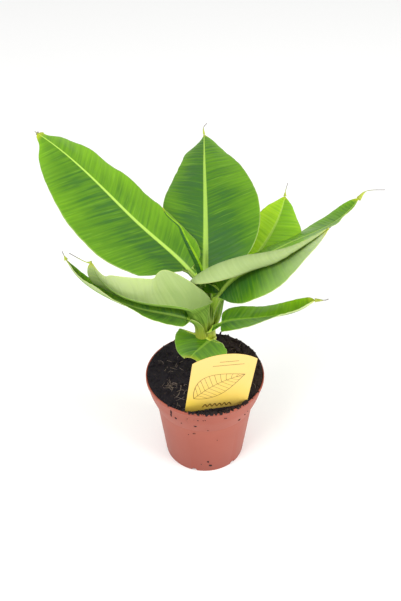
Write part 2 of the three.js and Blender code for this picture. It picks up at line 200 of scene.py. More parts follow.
# Moulded matte: soft even sheen, faint cloudy flow marks, soil dust from the rim, painted shade at the
# foot.
place = add_node(polypropylene, "TexCoord", {}).outputs["Object"]
clouds = add_node(polypropylene, "TexNoise", {"Vector": place, "Scale": 28.0, "Detail": 3.0})
height = add_node(polypropylene, "SeparateXYZ", {"Vector": place})
# Painted shade: the colour darkens toward the foot, fading out by 60 mm up.
foot_painted_shade = add_node(
    polypropylene, "MapRange",
    {"Value": height.outputs["Z"], "From Min": 0.005, "From Max": 0.06, "To Min": 0.55, "To Max": 0.0})
near_rim = add_node(
    polypropylene, "MapRange",
    {"Value": height.outputs["Z"], "From Min": 0.082, "From Max": 0.1015, "To Min": 0.0, "To Max": 1.0})
streaked = add_node(polypropylene, "Mapping", {"Vector": place, "Scale": (1.0, 1.0, 0.35)})
dust = add_node(
    polypropylene, "TexNoise",
    {"Vector": streaked.outputs[0], "Scale": 210.0, "Detail": 5.0, "Roughness": 0.7})
dust_patches = add_node(
    polypropylene, "MapRange",
    {"Value": dust.outputs["Fac"], "From Min": 0.58, "From Max": 0.72, "To Min": 0.0, "To Max": 0.75})
dust_share = add_node(
    polypropylene, "Math", {0: near_rim.outputs[0], 1: dust_patches.outputs[0]}, operation="MULTIPLY")
plastic_colour = linear("#9A4B39")
for share, hex_colour in (
    (clouds.outputs["Fac"], "#A85845"), (foot_painted_shade.outputs[0], "#8A3F30"),
    (dust_share.outputs[0], "#5A3228"),
):
    plastic_colour = add_node(
        polypropylene, "Mix", {0: share, 6: plastic_colour, 7: linear(hex_colour)},
        data_type="RGBA").outputs[2]
grain = add_node(polypropylene, "TexNoise", {"Vector": place, "Scale": 900.0, "Detail": 2.0})
grain_bump = add_node(
    polypropylene, "Bump", {"Height": grain.outputs["Fac"], "Strength": 0.12, "Distance": 0.0002})
wire(polypropylene_shader, {
    "Base Color": plastic_colour, "Roughness": 0.5, "Specular IOR Level": 0.35,
    "Normal": grain_bump.outputs["Normal"],
})

pot = new_piece("nursery_pot", pot_bm, [polypropylene])
notch_bm = bmesh.new()
for k in range(pot_notches):
    turn = Matrix.Rotation(math.radians(pot_first_notch + 360 / pot_notches * k), 4, "Z")
    shift = Matrix.Translation((pot_foot_radius * MM, 0, 0))
    lie_down = Matrix.Rotation(math.pi / 2, 4, "Y")
    flatten = Matrix.Diagonal((pot_notch_height * 2 / pot_notch_width, 1, 1, 1))
    bmesh.ops.create_cone(
        notch_bm, cap_ends=True, segments=24, radius1=pot_notch_width / 2 * MM,
        radius2=pot_notch_width / 2 * MM, depth=pot_notch_depth * MM,
        matrix=turn @ shift @ lie_down @ flatten)
notch_cutter = new_piece("notch_cutter", notch_bm, [])
cut = pot.modifiers.new("notches", "BOOLEAN")
cut.object = notch_cutter
cut.solver = "EXACT"
apply_modifiers(pot)
bpy.data.objects.remove(notch_cutter)
pot.data.shade_smooth()
pot.data.set_sharp_from_angle(angle=math.radians(40))
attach(pot, "root")
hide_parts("pot")


# ---- soil ----
# Moist peat potting soil, dark and crumbly, filled to the rim and a little higher at the back right.
# Its surface is a disc roughened by noise, with loose crumbs, pale fibres and one dark twig on it.

soil_rim_level = 102.2
soil_front_level = 98
soil_front_fall = 1.6
soil_front_left = 18
soil_front_fade = 42
soil_heap = 4.0
soil_heap_heading = math.radians(48)
soil_dish = 1.2
soil_edge_radius = 58.1
soil_wall_gap = 0.3
# The trough in front of the label, which the card's foot pressed in.
soil_trough_depth = 6.0
soil_trough_start = Vector((9.9, -42.8))
soil_trough_aim = Vector((0.186, -0.983))
soil_trough_middle = 9
soil_trough_half = 29
soil_trough_bank = 5
soil_trough_edge = 3
# How rough the surface is: how high its bumps are in mm, how many there are to a mm, and a seed.
soil_bumps = ((1.3, 0.11, 3), (0.9, 0.3, 9), (0.6, 0.8, 5))
# Both draws are seeded, so the soil comes out the same each time.
soil_draws = random.Random(11)
noise.seed_set(11)


def clamped(value):
    """The value, held between 0 and 1."""
    return max(0.0, min(1.0, value))


def soil_height(x, y):
    """The height of the soil's surface in mm at a place in mm."""
    to_edge = min(1, math.hypot(x, y) / soil_edge_radius)
    to_front = max(0.0, -y / pot_rim_radius) ** 2 * (1 - max(0.0, -x - soil_front_left) / soil_front_fade)
    front_fall = min(1, to_front * soil_front_fall)
    filled = soil_rim_level - (soil_rim_level - soil_front_level) * front_fall
    to_heap = (x * math.cos(soil_heap_heading) + y * math.sin(soil_heap_heading)) / pot_rim_radius
    heap = soil_heap * clamped((to_heap + 0.2) / 1.1) ** 1.5
    hollow = soil_dish * (1 - to_edge ** 3)
    past_label = (Vector((x, y)) - soil_trough_start).dot(soil_trough_aim) / soil_trough_edge
    beside_label = (abs(x - soil_trough_middle) - soil_trough_half) / soil_trough_bank
    trough = soil_trough_depth * clamped(past_label) * clamped(1 - beside_label)
    bumps = sum(tall * noise.noise(Vector((x, y, seed)) * pitch) for tall, pitch, seed in soil_bumps)
    return filled + heap - hollow - trough + bumps * (1.1 - 0.5 * to_edge)


def scatter(bm, place, size, faces, flat=1.0):
    """One crumb: a small ball knocked out of shape and turned any way."""
    turn = Matrix.Rotation(soil_draws.uniform(0, 2 * math.pi), 4, Vector((1, 1, soil_draws.random())))
    stretch = Matrix.Diagonal([size * soil_draws.uniform(0.6, 1.1) for _ in range(2)] + [size * flat, 1])
    ball = bmesh.ops.create_icosphere(
        bm, subdivisions=faces, radius=MM, matrix=Matrix.Translation(place) @ turn @ stretch)
    for vert in ball["verts"]:
        vert.co += noise.noise_vector(vert.co * 1400) * size * 0.45 * MM


def tube(bm, points, radii, sides):
    """A closed round rod through points, with a radius at each, in metres."""
    ring = None
    for i, (point, radius) in enumerate(zip(points, radii)):
        ahead = points[min(i + 1, len(points) - 1)] - points[max(i - 1, 0)]
        turn = ahead.to_track_quat("Z", "Y").to_matrix().to_4x4()
        if ring is None:
            made = bmesh.ops.create_circle(
                bm, cap_ends=True, segments=sides, radius=radius, matrix=Matrix.Translation(point) @ turn)
            ring = list({face for vert in made["verts"] for face in vert.link_faces})
            first = ring
            last_turn = turn
            last_radius = radius
            last_point = point
            continue
        grown = bmesh.ops.extrude_face_region(bm, geom=ring, use_keep_orig=(i == 1))
        verts = [item for item in grown["geom"] if isinstance(item, bmesh.types.BMVert)]
        ring = [item for item in grown["geom"] if isinstance(item, bmesh.types.BMFace)]
        unturn = (Matrix.Translation(last_point) @ last_turn).inverted()
        resize = Matrix.Diagonal((radius / last_radius, radius / last_radius, 1, 1))
        bmesh.ops.transform(bm, matrix=Matrix.Translation(point) @ turn @ resize @ unturn, verts=verts)
        last_turn, last_radius, last_point = turn, radius, point
    return first + ring


soil_bm = bmesh.new()
bmesh.ops.create_circle(soil_bm, cap_ends=True, segments=150, radius=soil_edge_radius * MM)
soil_rings = 48
for k in range(soil_rings):
    inner = max(soil_bm.faces, key=lambda face: len(face.verts))
    bmesh.ops.inset_individual(
        soil_bm, faces=[inner], thickness=soil_edge_radius * MM / (soil_rings + 1), use_even_offset=True)
wall_slope = (pot_band_top_radius - pot_band_middle_radius) / (pot_band_top - pot_band_middle)
for vert in soil_bm.verts:
    level = soil_height(vert.co.x / MM, vert.co.y / MM)
    room = pot_band_middle_radius - pot_wall - soil_wall_gap + (level - pot_band_middle) * wall_slope
    if vert.co.xy.length > room * MM:
        vert.co.xy = vert.co.xy.normalized() * room * MM
    vert.co.z = level * MM
soil_rim = [edge for edge in soil_bm.edges if edge.is_boundary]
for radius, level in ((pot_rim_radius - pot_wall - 1.2, pot_height - 6),
                      (pot_band_foot_radius - pot_wall - 1, pot_band_foot - 1),
                      (pot_foot_radius - pot_wall - 1, pot_floor + 4)):
    grown = bmesh.ops.extrude_edge_only(soil_bm, edges=soil_rim)
    for item in grown["geom"]:
        if isinstance(item, bmesh.types.BMVert):
            item.co.xy = item.co.xy.normalized() * radius * MM
            item.co.z = level * MM
    soil_rim = [item for item in grown["geom"] if isinstance(item, bmesh.types.BMEdge)]
bmesh.ops.edgeloop_fill(soil_bm, edges=soil_rim)
bmesh.ops.recalc_face_normals(soil_bm, faces=soil_bm.faces)

peat, peat_shader = new_material("moist_milled_peat")
# Milled and damp: nearly black with browner crumbs, rough all over with tiny wet glints.
place = add_node(peat, "TexCoord", {}).outputs["Object"]
clods = add_node(peat, "TexNoise", {"Vector": place, "Scale": 330.0, "Detail": 6.0, "Roughness": 0.75})
patches = add_node(peat, "TexNoise", {"Vector": place, "Scale": 38.0, "Detail": 2.0})
across = add_node(peat, "SeparateXYZ", {"Vector": place})
toward_heap = add_node(
    peat, "MapRange", {"Value": across.outputs["X"], "From Min": -0.01, "From Max": 0.05})
brown = add_node(
    peat, "Mix", {0: patches.outputs["Fac"], 6: linear("#1D171C"), 7: linear("#3A2820")}, data_type="RGBA")
browner = add_node(
    peat, "Mix", {0: toward_heap.outputs[0], 6: linear("#1C171E"), 7: brown.outputs[2]}, data_type="RGBA")
light_crumbs = add_node(
    peat, "MapRange", {"Value": clods.outputs["Fac"], "From Min": 0.56, "From Max": 0.78, "To Max": 0.8})
peat_colour = add_node(
    peat, "Mix", {0: light_crumbs.outputs[0], 6: browner.outputs[2], 7: linear("#5A443A")},
    data_type="RGBA")
peat_bump = add_node(
    peat, "Bump", {"Height": clods.outputs["Fac"], "Strength": 0.9, "Distance": 0.0016})
wire(peat_shader, {
    "Base Color": peat_colour.outputs[2], "Roughness": 0.86, "Specular IOR Level": 0.3,
    "Normal": peat_bump.outputs["Normal"],
})
soil = new_piece("potting_soil", soil_bm, [peat])
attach(soil, "root")
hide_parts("soil")

fine_crumbs = 1500
lumps = 170
rim_crumbs = 420
label_crumbs = 26
bare_middle = 3
bare_radius = 12
crumb_bm = bmesh.new()
for k in range(fine_crumbs):
    turn = soil_draws.uniform(0, 2 * math.pi)
    reach = soil_edge_radius * math.sqrt(soil_draws.random())
    x, y = reach * math.cos(turn), reach * math.sin(turn)
    if math.hypot(x - bare_middle, y) < bare_radius:
        continue
    size = 0.45 + 1.1 * soil_draws.random() ** 4
    scatter(crumb_bm, Vector((x, y, soil_height(x, y) + size * 0.3)) * MM, size, 1)
for k in range(lumps):
    turn = soil_draws.gauss(0.9, 0.9)
    reach = soil_edge_radius * soil_draws.uniform(0.45, 0.99)
    x, y = reach * math.cos(turn), reach * math.sin(turn)
    size = soil_draws.uniform(1.0, 2.6)
    scatter(crumb_bm, Vector((x, y, soil_height(x, y) + size * 0.2)) * MM, size, 2)
for k in range(rim_crumbs):
    cluster = soil_draws.choice((-99, -86, -72, -50))
    turn = math.radians(soil_draws.gauss(cluster, soil_draws.choice((4, 10, 18))))
    reach = soil_draws.uniform(56.5, 59.9)
    x, y = reach * math.cos(turn), reach * math.sin(turn)
    size = 0.35 + 1.5 * soil_draws.random() ** 4
    scatter(crumb_bm, Vector((x, y, pot_height - 0.6 + size * 0.25)) * MM, size, 1)
for k in range(label_crumbs):
    x, y = soil_draws.gauss(0.6, 3.4), soil_draws.gauss(-48.5, 1.2)
    size = soil_draws.uniform(0.9, 2.2)
    scatter(crumb_bm, Vector((x, y, 94 + soil_draws.uniform(0, 2.5))) * MM, size, 2)
bmesh.ops.recalc_face_normals(crumb_bm, faces=crumb_bm.faces)
crumbs = new_piece("soil_crumbs", crumb_bm, [peat])
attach(crumbs, "root")

# Dirt stuck to the pot: on the outside below the front rim, in one run, and low down near the foot.
smear_bm = bmesh.new()
for turn, height_on_pot, wide, tall in (
    (-124.5, 96.5, 0.9, 3.4), (-125, 92.5, 0.8, 3.0), (-125.6, 88.5, 0.9, 2.6), (-126.2, 101.8, 2.0, 1.6),
    (-120.4, 87, 1.1, 1.5), (-115.2, 80.5, 0.7, 0.7), (-100.1, 80.4, 1.6, 1.0), (-103.8, 63.3, 0.7, 0.8),
    (-101.8, 63.8, 0.5, 0.5), (-97, 92, 0.8, 0.7), (-69, 92, 0.7, 0.8), (-50.3, 76.6, 1.5, 1.2),
    (-44, 81, 0.6, 0.5), (-41, 84, 0.5, 0.6), (-87, 72, 0.6, 0.5), (-110, 60, 0.5, 0.5),
    (-75, 52, 0.4, 0.5), (-85.6, 16.5, 1.2, 1.1), (-82, 9.8, 1.8, 1.7), (-95, 12, 0.6, 0.6),
):
    if height_on_pot > pot_band_middle:
        s = min(1, (height_on_pot - pot_band_middle) / (pot_height - pot_lip - pot_band_middle))
        reach = pot_band_middle_radius + (pot_band_top_radius - pot_band_middle_radius) * s
    elif height_on_pot > pot_band_foot:
        s = (height_on_pot - pot_band_foot) / (pot_band_middle - pot_band_foot)
        reach = pot_band_foot_radius + (pot_band_middle_radius - pot_band_foot_radius) * s
    else:
        reach = pot_foot_radius + (pot_body_radius - pot_foot_radius) * height_on_pot / pot_band_foot
    spin = Matrix.Rotation(math.radians(turn), 4, "Z")
    shift = Matrix.Translation(Vector((reach, 0, height_on_pot)) * MM)
    ball = bmesh.ops.create_icosphere(
        smear_bm, subdivisions=2, radius=MM, matrix=spin @ shift @ Matrix.Diagonal((0.45, wide, tall, 1)))
    for vert in ball["verts"]:
        vert.co += noise.noise_vector(vert.co * 900) * 0.5 * MM
bmesh.ops.recalc_face_normals(smear_bm, faces=smear_bm.faces)
smears = new_piece("soil_smears", smear_bm, [peat])
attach(smears, "root")

fibre_bm = bmesh.new()
fibre_steps = 6
for middle_x, middle_y, spread, length, count in (
    (-36, -18, 6, 8, 22), (-27, -36, 5, 16, 4), (-22, -26, 6, 9, 6), (-30, 12, 14, 7, 10),
    (30, 30, 14, 7, 8), (-12, -46, 10, 6, 6), (46, -14, 6, 7, 6), (0, 30, 16, 7, 6),
):
    for k in range(count):
        start_x = soil_draws.gauss(middle_x, spread * 0.5)
        start = Vector((start_x, soil_draws.gauss(middle_y, spread * 0.5), 0))
        turn = soil_draws.uniform(0, 2 * math.pi)
        run = length * soil_draws.uniform(0.5, 1.2)
        bend = soil_draws.uniform(-0.9, 0.9)
        points = []
        for i in range(fibre_steps + 1):
            s = i / fibre_steps
            place = start + Vector((math.cos(turn + bend * s), math.sin(turn + bend * s), 0)) * run * s
            arch = 0.9 * math.sin(math.pi * s) * soil_draws.uniform(0.6, 1.4)
            points.append(Vector((place.x, place.y, soil_height(place.x, place.y) + 0.25 + arch)) * MM)
        thick = soil_draws.uniform(0.12, 0.2) * MM
        tube(fibre_bm, points, [thick] * len(points), 5)
bmesh.ops.recalc_face_normals(fibre_bm, faces=fibre_bm.faces)
coir, coir_shader = new_material("dry_coir_fibre")
# Dry plant fibre: dull straw brown, with no gloss.
place = add_node(coir, "TexCoord", {}).outputs["Object"]
tint = add_node(coir, "TexNoise", {"Vector": place, "Scale": 70.0})
coir_colour = add_node(
    coir, "Mix", {0: tint.outputs["Fac"], 6: linear("#5C4C42"), 7: linear("#A8968A")}, data_type="RGBA")
wire(coir_shader, {"Base Color": coir_colour.outputs[2], "Roughness": 0.8})
fibres = new_piece("soil_fibres", fibre_bm, [coir])
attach(fibres, "root")

twig_bm = bmesh.new()
twig_foot = Vector((16.5, 52, soil_height(16.5, 52) - 2))
twig_points = [twig_foot + Vector(step) for step in ((0, 0, 0), (0.3, 0, 3), (-0.2, 0.2, 6), (0.6, 0.2, 9))]
tube(twig_bm, [point * MM for point in twig_points], [radius * MM for radius in (1.4, 1.2, 1.1, 0.7)], 7)
bmesh.ops.recalc_face_normals(twig_bm, faces=twig_bm.faces)
twig = new_piece("soil_twig", twig_bm, [peat])
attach(twig, "root")


# ---- label ----
# The plant label: a stiff yellow printed plastic card with an arched top, pushed into the soil on a
# tongue. Its print is a drawn leaf under two ruled lines and over a dark zigzag, in brown ink.

label_foot = Vector((9.9, -42.8, 91.1))
label_yaw = math.radians(10.7)
label_lean = math.radians(-11.7)
label_slant = math.radians(3.8)
label_width = 61.5
label_height = 80
label_arch = 11
label_thickness = 0.8
label_tongue_width = 18
label_tongue_depth = 26
label_edge_round = 0.18

label_stand = (
    Matrix.Translation(label_foot * MM) @ Matrix.Rotation(label_yaw, 4, "Z")
    @ Matrix.Rotation(math.pi / 2 - label_lean, 4, "X") @ Matrix.Rotation(-label_slant, 4, "Z"))
label_bm = bmesh.new()
half = label_width / 2
arch_radius = (half ** 2 + label_arch ** 2) / (2 * label_arch)
arch_sweep = math.asin(half / arch_radius)
tongue = label_tongue_width / 2
outline = [(-tongue, 0), (-half, 0)]
for k in range(25):
    turn = arch_sweep * (k / 12 - 1)
    outline.append((arch_radius * math.sin(turn),
                    label_height + label_arch - arch_radius + arch_radius * math.cos(turn)))
outline += [(half, 0), (tongue, 0), (tongue, -label_tongue_depth + tongue), (0, -label_tongue_depth),
            (-tongue, -label_tongue_depth + tongue)]
label_back = -label_thickness / 2
card = label_bm.faces.new([label_bm.verts.new((x * MM, y * MM, label_back * MM)) for x, y in outline])
grown = bmesh.ops.extrude_face_region(label_bm, geom=[card])
raised = [item for item in grown["geom"] if isinstance(item, bmesh.types.BMVert)]
bmesh.ops.translate(label_bm, verts=raised, vec=(0, 0, label_thickness * MM))
bmesh.ops.recalc_face_normals(label_bm, faces=label_bm.faces)
sharp = [edge for edge in label_bm.edges if edge.calc_face_angle(0) > math.radians(60)]
bmesh.ops.bevel(
    label_bm, geom=sharp, offset=label_edge_round * MM, segments=2, profile=0.5, affect="EDGES",
    material=-1)
label_place = label_bm.verts.layers.float_vector.new("card_place")
for vert in label_bm.verts:
    vert[label_place] = vert.co / MM
bmesh.ops.transform(label_bm, matrix=label_stand, verts=label_bm.verts)

card_stock, card_shader = new_material("printed_polystyrene_card")
# Offset printed on smooth white plastic: pale yellow at the top, deeper below, with a satin face.
card_place = add_node(card_stock, "Attribute", {}, attribute_name="card_place").outputs["Vector"]
card_xyz = add_node(card_stock, "SeparateXYZ", {"Vector": card_place})
down = add_node(
    card_stock, "MapRange",
    {"Value": card_xyz.outputs["Y"], "From Min": 4.0, "From Max": 90.0, "To Min": 1.0, "To Max": 0.0})
sweep_noise = add_node(card_stock, "TexNoise", {"Vector": card_place, "Scale": 0.03, "Detail": 1.0})
tone = add_node(
    card_stock, "Math", {0: down.outputs[0], 1: sweep_noise.outputs["Fac"]}, operation="MULTIPLY")
deepened = add_node(
    card_stock, "Math", {0: tone.outputs[0], 1: 1.8}, operation="MULTIPLY", use_clamp=True)
card_colour = add_node(
    card_stock, "Mix", {0: deepened.outputs[0], 6: linear("#EFCB78"), 7: linear("#E8C850")},
    data_type="RGBA")
wire(card_shader, {"Base Color": card_colour.outputs[2], "Roughness": 0.38, "Specular IOR Level": 0.4})
label = new_piece("plant_label", label_bm, [card_stock], smooth=False)
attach(label, "root")
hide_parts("label")


print_lift = 0.04
print_middle = 4
rule_stroke = 0.7
drawn_leaf_foot = Vector((-24, 25))
drawn_leaf_run = Vector((46, 33))
drawn_leaf_breadth = 17
drawn_leaf_bow = 5
drawn_leaf_veins = 10
drawn_vein_pitch = 0.085
drawn_vein_run = 0.09
drawn_vein_stroke = 0.42
zigzag_left = -14
zigzag_foot = 8.5
zigzag_pitch = 2.4
zigzag_height = 5
zigzag_corners = 13
zigzag_stroke = 1.3


def printed_line(bm, points, width):
    """A flat printed stroke through points on the card's face."""
    face = (label_thickness / 2 + print_lift) * MM
    for (x0, y0), (x1, y1) in zip(points, points[1:]):
        run = Vector((x1 - x0, y1 - y0))
        side = Vector((-run.y, run.x)).normalized() * width / 2
        corners = [(x0 - side.x, y0 - side.y), (x1 - side.x, y1 - side.y),
                   (x1 + side.x, y1 + side.y), (x0 + side.x, y0 + side.y)]
        bm.faces.new([bm.verts.new((x * MM, y * MM, face)) for x, y in corners])


def drawn_leaf_point(s, across):
    """A place on the drawn leaf: how far along its midrib, and how far out toward either margin."""
    upward = Vector((-drawn_leaf_run.y, drawn_leaf_run.x)).normalized()
    breadth = drawn_leaf_breadth * math.sin(math.pi * s ** 0.8) * across
    bow = drawn_leaf_bow * math.sin(math.pi * s)
    return drawn_leaf_foot + drawn_leaf_run * s + upward * (bow + breadth)


print_bm = bmesh.new()
for rule_y, rule_half in ((80, 9), (74.5, 15)):
    printed_line(
        print_bm, [(print_middle - rule_half, rule_y), (print_middle + rule_half, rule_y)], rule_stroke)
for margin in (-1, 0, 1):
    stroke = [drawn_leaf_point(k / 24, margin) for k in range(25)]
    printed_line(print_bm, stroke, rule_stroke)
for k in range(1, drawn_leaf_veins + 1):
    for margin in (-1, 1):
        stroke = [drawn_leaf_point(min(1, drawn_vein_pitch * k + drawn_vein_run * i / 4), margin * i / 4)
                  for i in range(5)]
        printed_line(print_bm, stroke, drawn_vein_stroke)
zigzag = [(zigzag_left + zigzag_pitch * k, zigzag_foot + (k % 2) * zigzag_height)
          for k in range(zigzag_corners)]
printed_line(print_bm, zigzag, zigzag_stroke)
bmesh.ops.transform(print_bm, matrix=label_stand, verts=print_bm.verts)
ink, ink_shader = new_material("brown_printing_ink")
# Thin brown ink on the card: matt and even.
place = add_node(ink, "TexCoord", {}).outputs["Object"]
ink_tint = add_node(ink, "TexNoise", {"Vector": place, "Scale": 400.0})
ink_colour = add_node(
    ink, "Mix", {0: ink_tint.outputs["Fac"], 6: linear("#6E5014"), 7: linear("#8E6E26")}, data_type="RGBA")
wire(ink_shader, {"Base Color": ink_colour.outputs[2], "Roughness": 0.5})
label_print = new_piece("label_print", print_bm, [ink], smooth=False)
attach(label_print, "root")


# ---- stem ----
# The stem is the leaves' own sheaths rolled round each other. This is the innermost part, which the
# sheaths below hide: a soft green rod that narrows upward.

stem_foot = Vector((3, 0, 94))
stem_top = Vector((-3, 1, 214))
stem_bow = 0.8
core_top = 220
core_steps = 24
core_foot_radius = 3.9
core_narrowing = 0.9
core_line_reach = 5


def stem_axis(height):
    """The middle of the stem at a height in mm."""
    s = (height - stem_foot.z) / (stem_top.z - stem_foot.z)
    return stem_foot.lerp(stem_top, s) + Vector((stem_bow, 0, 0)) * math.sin(math.pi * s)


def sheath_skin(name, deep, light, shine):
    """A sheath's or stalk's skin: fine lengthwise lines, yellower low down, paler at its edges."""
    skin, shader = new_material(name)
    stalk_mm = add_node(skin, "SeparateXYZ", {
        "Vector": add_node(skin, "Attribute", {}, attribute_name="stalk_mm").outputs["Vector"]}).outputs
    lines_place = add_node(skin, "CombineXYZ", {"X": stalk_mm["X"], "Y": stalk_mm["Y"]})
    lines_scaled = add_node(skin, "Mapping", {"Vector": lines_place.outputs[0], "Scale": (0.03, 1.1, 1.0)})
    lines = add_node(skin, "TexNoise", {"Vector": lines_scaled.outputs[0], "Scale": 1.0, "Detail": 4.0})
    place = add_node(skin, "TexCoord", {}).outputs["Object"]
    height = add_node(skin, "SeparateXYZ", {"Vector": place}).outputs["Z"]
    # Each colour is laid over the last, as far as its source has come from start to end.
    colour = linear(deep)
    for source, start, end, least, most, hex_colour in (
        (lines.outputs["Fac"], 0.34, 0.66, 0.0, 1.0, light),
        (height, 0.14, 0.176, 0.9, 0.0, "#D2D046"),
        (stalk_mm["Z"], 0.93, 0.99, 0.0, 0.6, "#C4D07A"),
    ):
        share = add_node(skin, "MapRange", {
            "Value": source, "From Min": start, "From Max": end, "To Min": least, "To Max": most})
        colour = add_node(
            skin, "Mix", {0: share.outputs[0], 6: colour, 7: linear(hex_colour)},
            data_type="RGBA").outputs[2]
    relief = add_node(
        skin, "Bump", {"Height": lines.outputs["Fac"], "Strength": 0.3, "Distance": 0.0004})
    wire(shader, {
        "Base Color": colour, "Roughness": shine, "Specular IOR Level": 0.25,
        "Normal": relief.outputs["Normal"],
    })
    return skin


sheath_inside = sheath_skin("channelled_stalk_inside", "#94C238", "#CCEE60", 0.4)
sheath_outside = sheath_skin("waxy_stalk_outside", "#4A7020", "#88AE44", 0.5)

core_bm = bmesh.new()
core_heights = [stem_foot.z + (core_top - stem_foot.z) * k / core_steps for k in range(core_steps + 1)]
core_radii = [(core_foot_radius - core_narrowing * (k / core_steps) ** 2) * MM
              for k in range(core_steps + 1)]
tube(core_bm, [stem_axis(z) * MM for z in core_heights], core_radii, 40)
core_mm = core_bm.verts.layers.float_vector.new("stalk_mm")
for vert in core_bm.verts:
    axis = stem_axis(vert.co.z / MM)
    turn = math.atan2(vert.co.y / MM - axis.y, vert.co.x / MM - axis.x)
    vert[core_mm] = (vert.co.z / MM, abs(turn) * core_line_reach, 0)
bmesh.ops.recalc_face_normals(core_bm, faces=core_bm.faces)
core = new_piece("stem_core", core_bm, [sheath_outside])
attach(core, "root")
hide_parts("stem")
